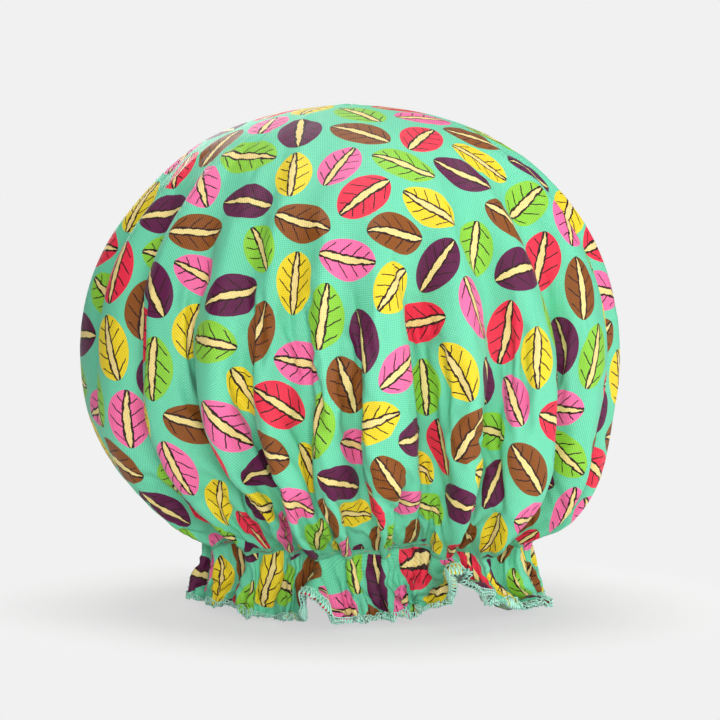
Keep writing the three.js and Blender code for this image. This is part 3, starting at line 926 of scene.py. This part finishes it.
def loop_over(lift):
    """One loop of a looper: from the needle line to the edge, round it, and back."""
    turned = lift + math.copysign(LOOP_BULGE, lift)
    half_way = bind_arc + OVERLOCK_WIDTH / 2
    return [
        (0.0, bind_arc, lift),
        (0.22, half_way, turned),
        (0.42, hem_arc - EDGE_IN, lift),
        (0.5, hem_arc + EDGE_OUT, lift * EDGE_LIFT_SHARE),
        (0.58, hem_arc - EDGE_IN, lift),
        (0.78, half_way, turned),
    ]


needle = [
    (0.0, bind_arc, NEEDLE_DIP),
    (0.2, bind_arc, NEEDLE_LIFT),
    (0.5, bind_arc, NEEDLE_CREST),
    (0.8, bind_arc, NEEDLE_LIFT),
]
for name, shape, thickness, node in (
    ("overlock_needle_stitches", needle, THREAD_RADIUS, "hem_needle_thread"),
    ("overlock_upper_loops", loop_over(FACE_LIFT), LOOPER_RADIUS, "hem_upper_looper_thread"),
    ("overlock_lower_loops", loop_over(BACK_LIFT), LOOPER_RADIUS, "hem_lower_looper_thread"),
):
    thread_piece(name, stitched_path(hem_row, shape), thickness, overlock_thread, node)

# Studio
# A pale floor that runs out into the background, four soft lamps round the cap, and the camera.
# Places of the camera and the lamps, and sizes of the lamps, are in metres.
BACKGROUND = "#F1F1F1"
VIEW_CENTRE = (0.0035, 0.0, 0.0985)
VIEW_DISTANCE = 1.4
VIEW_ELEVATION = math.radians(4)
LENS = 175.0
SENSOR = 36.0

camera = bpy.data.objects.new("camera", bpy.data.cameras.new("camera"))
camera.data.lens = LENS
camera.data.sensor_width = SENSOR
camera.location = (
    VIEW_CENTRE[0],
    VIEW_CENTRE[1] - VIEW_DISTANCE * math.cos(VIEW_ELEVATION),
    VIEW_CENTRE[2] + VIEW_DISTANCE * math.sin(VIEW_ELEVATION),
)
camera.rotation_euler = (math.pi / 2 - VIEW_ELEVATION, 0, 0)
bpy.context.scene.collection.objects.link(camera)
bpy.context.scene.camera = camera

# Backdrop paper: near white and matt, and away from the cap in the background's own tone.
FLOOR_HALF = 3000.0
PAPER = "#F0F0F0"
SHADOW_FADES = (0.07, 0.17)  # in metres from the cap's middle, where the floor turns into the background
SHADOW_LIGHTENED = 0.66  # share of the background in the floor even under the cap
floor = mesh_object("floor", square(FLOOR_HALF), [(0, 1, 2, 3)])
paper, tree, shader = new_material("backdrop_paper")
shader.inputs["Base Color"].default_value = linear(PAPER)
shader.inputs["Roughness"].default_value = 0.9
shader.inputs["Specular IOR Level"].default_value = 0.1
place = add_node(tree, "ShaderNodeTexCoord")["Object"]
away = add_node(tree, "ShaderNodeVectorMath", {0: place}, operation="LENGTH")["Value"]
fading = {"Value": away, "From Min": SHADOW_FADES[0], "From Max": SHADOW_FADES[1]}
fade = add_node(tree, "ShaderNodeMapRange", fading)[0]
seen = add_node(tree, "ShaderNodeLightPath")["Is Camera Ray"]
lightened = add_node(tree, "ShaderNodeMath", {0: fade, 1: SHADOW_LIGHTENED}, operation="MAXIMUM")[0]
amount = add_node(tree, "ShaderNodeMath", {0: lightened, 1: seen}, operation="MULTIPLY")[0]
glow = add_node(tree, "ShaderNodeEmission", {"Color": linear(BACKGROUND), "Strength": 1.0})[0]
mixed = add_node(tree, "ShaderNodeMixShader", {0: amount, 1: shader.outputs[0], 2: glow})[0]
tree.links.new(mixed, tree.nodes["Material Output"].inputs["Surface"])
floor.data.materials.append(paper)

AMBIENT = 0.05
LIT_POINT = (0, 0, 0.1)
world = bpy.data.worlds.new("studio")
bpy.context.scene.world = world
world.use_nodes = True
tree = world.node_tree
path = add_node(tree, "ShaderNodeLightPath")
rays = {0: path["Is Camera Ray"], 1: path["Is Transmission Ray"]}
seen = add_node(tree, "ShaderNodeMath", rays, operation="MAXIMUM")[0]
ambient = add_node(tree, "ShaderNodeBackground", {"Color": (1, 1, 1, 1), "Strength": AMBIENT})[0]
plain = add_node(tree, "ShaderNodeBackground", {"Color": linear(BACKGROUND), "Strength": 1.0})[0]
both = add_node(tree, "ShaderNodeMixShader", {0: seen, 1: ambient, 2: plain})[0]
tree.links.new(both, tree.nodes["World Output"].inputs["Surface"])


def softbox(name, place, size, power):
    """A square area lamp that faces the cap."""
    lamp = bpy.data.lights.new(name, "AREA")
    lamp.size = size
    lamp.energy = power
    holder = bpy.data.objects.new(name, lamp)
    holder.location = place
    aim = Vector(LIT_POINT) - Vector(place)
    holder.rotation_euler = aim.to_track_quat("-Z", "Y").to_euler()
    bpy.context.scene.collection.objects.link(holder)


softbox("top_softbox", place=(0.0, 0.1, 1.3), size=0.8, power=13.0)
softbox("front_softbox", place=(0.1, -1.6, 0.3), size=0.7, power=18.0)
softbox("side_softbox", place=(1.35, -0.5, 0.35), size=0.7, power=10.0)
softbox("back_softbox", place=(-0.5, 1.5, 0.7), size=0.8, power=9.0)

bpy.context.scene.view_settings.view_transform = "Standard"
